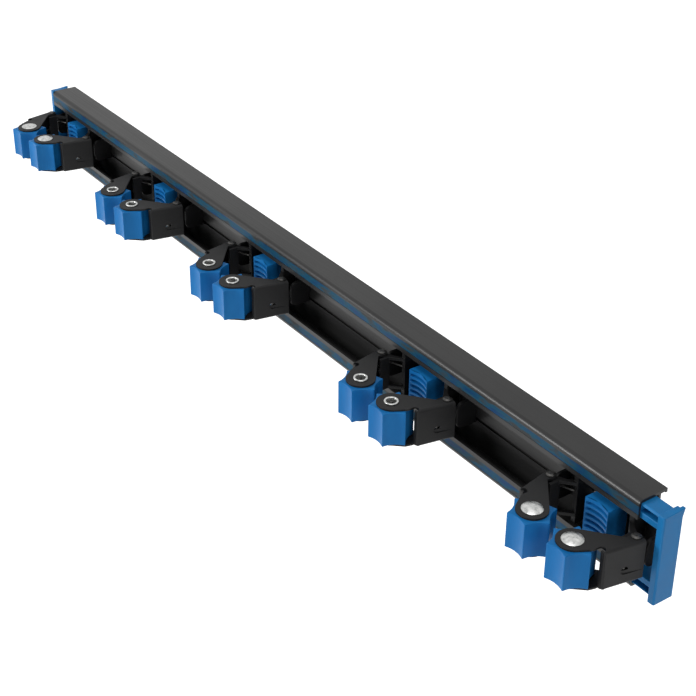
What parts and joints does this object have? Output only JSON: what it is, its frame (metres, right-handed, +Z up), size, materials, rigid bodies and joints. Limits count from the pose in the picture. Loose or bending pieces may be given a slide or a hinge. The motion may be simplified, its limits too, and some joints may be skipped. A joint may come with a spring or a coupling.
{
  "type": "clamp rack",
  "caption": "Wall rail with sliding spring-loaded tool clamps: sheet-metal arms with fluted rubber rollers close on a handle against a ribbed pad.",
  "frame": {"origin": "on the wall plane, at the middle of the rail's length and at the lower edge of the rail's back", "axes": "+X along the rail towards the end whose cap stands out, +Y into the wall, +Z up"},
  "size_m": [0.9287, 0.0867, 0.0739],
  "materials": {
    "black_anodised": "satin black anodised extrusion",
    "blue_strip": "semi-matt blue plastic",
    "blue_cap": "semi-matt blue moulding",
    "black_moulding": "matt black moulding",
    "blue_rubber": "satin blue rubber",
    "black_steel": "black coated sheet steel",
    "dark_steel": "blackened steel",
    "zinc_steel": "bright zinc plated steel"
  },
  "bodies": {
    "rail": {"rail": "black_anodised", "upper_stripe": "blue_strip", "lower_stripe": "blue_strip"},
    "left_cap": {"end_cap_left": "blue_cap"},
    "right_cap": {"end_cap_right": "blue_cap"},
    "clamp_1": {"carriage_1": "black_moulding", "pad_1": "blue_rubber", "pivot_pins_1": "dark_steel", "spring_left_1": "dark_steel", "spring_right_1": "dark_steel"},
    "arm_left_1": {"arm_left_1": "black_steel", "rivet_left_1": "zinc_steel"},
    "roller_left_1": {"roller_left_1": "blue_rubber"},
    "arm_right_1": {"arm_right_1": "black_steel", "rivet_right_1": "zinc_steel"},
    "roller_right_1": {"roller_right_1": "blue_rubber"},
    "clamp_2": {"carriage_2": "black_moulding", "pad_2": "blue_rubber", "pivot_pins_2": "dark_steel", "spring_left_2": "dark_steel", "spring_right_2": "dark_steel"},
    "arm_left_2": {"arm_left_2": "black_steel", "rivet_left_2": "zinc_steel"},
    "roller_left_2": {"roller_left_2": "blue_rubber"},
    "arm_right_2": {"arm_right_2": "black_steel", "rivet_right_2": "zinc_steel"},
    "roller_right_2": {"roller_right_2": "blue_rubber"},
    "clamp_3": {"carriage_3": "black_moulding", "pad_3": "blue_rubber", "pivot_pins_3": "dark_steel", "spring_left_3": "dark_steel", "spring_right_3": "dark_steel"},
    "arm_left_3": {"arm_left_3": "black_steel", "rivet_left_3": "zinc_steel"},
    "roller_left_3": {"roller_left_3": "blue_rubber"},
    "arm_right_3": {"arm_right_3": "black_steel", "rivet_right_3": "zinc_steel"},
    "roller_right_3": {"roller_right_3": "blue_rubber"},
    "clamp_4": {"carriage_4": "black_moulding", "pad_4": "blue_rubber", "pivot_pins_4": "dark_steel", "spring_left_4": "dark_steel", "spring_right_4": "dark_steel"},
    "arm_left_4": {"arm_left_4": "black_steel", "rivet_left_4": "zinc_steel"},
    "roller_left_4": {"roller_left_4": "blue_rubber"},
    "arm_right_4": {"arm_right_4": "black_steel", "rivet_right_4": "zinc_steel"},
    "roller_right_4": {"roller_right_4": "blue_rubber"},
    "clamp_5": {"carriage_5": "black_moulding", "pad_5": "blue_rubber", "pivot_pins_5": "dark_steel", "spring_left_5": "dark_steel", "spring_right_5": "dark_steel"},
    "arm_left_5": {"arm_left_5": "black_steel", "rivet_left_5": "zinc_steel"},
    "roller_left_5": {"roller_left_5": "blue_rubber"},
    "arm_right_5": {"arm_right_5": "black_steel", "rivet_right_5": "zinc_steel"},
    "roller_right_5": {"roller_right_5": "blue_rubber"}
  },
  "joints": [
    {"name": "left_cap_pull", "type": "slide", "parent": "rail", "child": "left_cap", "axis": [-1, 0, 0], "range_m": [0, 0.02]},
    {"name": "right_cap_pull", "type": "slide", "parent": "rail", "child": "right_cap", "axis": [1, 0, 0], "range_m": [-0.0045, 0.0027]},
    {"name": "slide_1", "type": "slide", "parent": "rail", "child": "clamp_1", "axis": [1, 0, 0], "range_m": [-0.005, 0.03]},
    {"name": "swing_left_1", "type": "hinge", "parent": "clamp_1", "child": "arm_left_1", "pos_m": [-0.44001, -0.0345, 0.0365], "axis": [0, 0, -1], "range_deg": [0, 35], "stiffness_Nm_per_rad": 0.6, "springref_deg": -28.65},
    {"name": "roll_left_1", "type": "hinge", "parent": "arm_left_1", "child": "roller_left_1", "pos_m": [-0.41801, -0.071, 0.0365], "axis": [0, 0, 1], "continuous": true},
    {"name": "swing_right_1", "type": "hinge", "parent": "clamp_1", "child": "arm_right_1", "pos_m": [-0.35602, -0.0345, 0.0365], "axis": [0, 0, 1], "range_deg": [0, 35], "stiffness_Nm_per_rad": 0.6, "springref_deg": -28.65},
    {"name": "roll_right_1", "type": "hinge", "parent": "arm_right_1", "child": "roller_right_1", "pos_m": [-0.37801, -0.071, 0.0365], "axis": [0, 0, 1], "continuous": true},
    {"name": "slide_2", "type": "slide", "parent": "rail", "child": "clamp_2", "axis": [1, 0, 0], "range_m": [-0.03, 0.03]},
    {"name": "swing_left_2", "type": "hinge", "parent": "clamp_2", "child": "arm_left_2", "pos_m": [-0.245, -0.0345, 0.0365], "axis": [0, 0, -1], "range_deg": [0, 35], "stiffness_Nm_per_rad": 0.6, "springref_deg": -28.65},
    {"name": "roll_left_2", "type": "hinge", "parent": "arm_left_2", "child": "roller_left_2", "pos_m": [-0.22301, -0.071, 0.0365], "axis": [0, 0, 1], "continuous": true},
    {"name": "swing_right_2", "type": "hinge", "parent": "clamp_2", "child": "arm_right_2", "pos_m": [-0.16101, -0.0345, 0.0365], "axis": [0, 0, 1], "range_deg": [0, 35], "stiffness_Nm_per_rad": 0.6, "springref_deg": -28.65},
    {"name": "roll_right_2", "type": "hinge", "parent": "arm_right_2", "child": "roller_right_2", "pos_m": [-0.18301, -0.071, 0.0365], "axis": [0, 0, 1], "continuous": true},
    {"name": "slide_3", "type": "slide", "parent": "rail", "child": "clamp_3", "axis": [1, 0, 0], "range_m": [-0.03, 0.03]},
    {"name": "swing_left_3", "type": "hinge", "parent": "clamp_3", "child": "arm_left_3", "pos_m": [-0.0585, -0.0345, 0.0365], "axis": [0, 0, -1], "range_deg": [0, 35], "stiffness_Nm_per_rad": 0.6, "springref_deg": -28.65},
    {"name": "roll_left_3", "type": "hinge", "parent": "arm_left_3", "child": "roller_left_3", "pos_m": [-0.0365, -0.071, 0.0365], "axis": [0, 0, 1], "continuous": true},
    {"name": "swing_right_3", "type": "hinge", "parent": "clamp_3", "child": "arm_right_3", "pos_m": [0.0255, -0.0345, 0.0365], "axis": [0, 0, 1], "range_deg": [0, 35], "stiffness_Nm_per_rad": 0.6, "springref_deg": -28.65},
    {"name": "roll_right_3", "type": "hinge", "parent": "arm_right_3", "child": "roller_right_3", "pos_m": [0.0035, -0.071, 0.0365], "axis": [0, 0, 1], "continuous": true},
    {"name": "slide_4", "type": "slide", "parent": "rail", "child": "clamp_4", "axis": [1, 0, 0], "range_m": [-0.03, 0.03]},
    {"name": "swing_left_4", "type": "hinge", "parent": "clamp_4", "child": "arm_left_4", "pos_m": [0.17351, -0.0345, 0.0365], "axis": [0, 0, -1], "range_deg": [0, 35], "stiffness_Nm_per_rad": 0.6, "springref_deg": -28.65},
    {"name": "roll_left_4", "type": "hinge", "parent": "arm_left_4", "child": "roller_left_4", "pos_m": [0.19551, -0.071, 0.0365], "axis": [0, 0, 1], "continuous": true},
    {"name": "swing_right_4", "type": "hinge", "parent": "clamp_4", "child": "arm_right_4", "pos_m": [0.25751, -0.0345, 0.0365], "axis": [0, 0, 1], "range_deg": [0, 35], "stiffness_Nm_per_rad": 0.6, "springref_deg": -28.65},
    {"name": "roll_right_4", "type": "hinge", "parent": "arm_right_4", "child": "roller_right_4", "pos_m": [0.23551, -0.071, 0.0365], "axis": [0, 0, 1], "continuous": true},
    {"name": "slide_5", "type": "slide", "parent": "rail", "child": "clamp_5", "axis": [1, 0, 0], "range_m": [-0.03, 0.0045]},
    {"name": "swing_left_5", "type": "hinge", "parent": "clamp_5", "child": "arm_left_5", "pos_m": [0.37399, -0.0345, 0.0365], "axis": [0, 0, -1], "range_deg": [0, 35], "stiffness_Nm_per_rad": 0.6, "springref_deg": -28.65},
    {"name": "roll_left_5", "type": "hinge", "parent": "arm_left_5", "child": "roller_left_5", "pos_m": [0.39599, -0.071, 0.0365], "axis": [0, 0, 1], "continuous": true},
    {"name": "swing_right_5", "type": "hinge", "parent": "clamp_5", "child": "arm_right_5", "pos_m": [0.45799, -0.0345, 0.0365], "axis": [0, 0, 1], "range_deg": [0, 35], "stiffness_Nm_per_rad": 0.6, "springref_deg": -28.65},
    {"name": "roll_right_5", "type": "hinge", "parent": "arm_right_5", "child": "roller_right_5", "pos_m": [0.43599, -0.071, 0.0365], "axis": [0, 0, 1], "continuous": true}
  ]
}
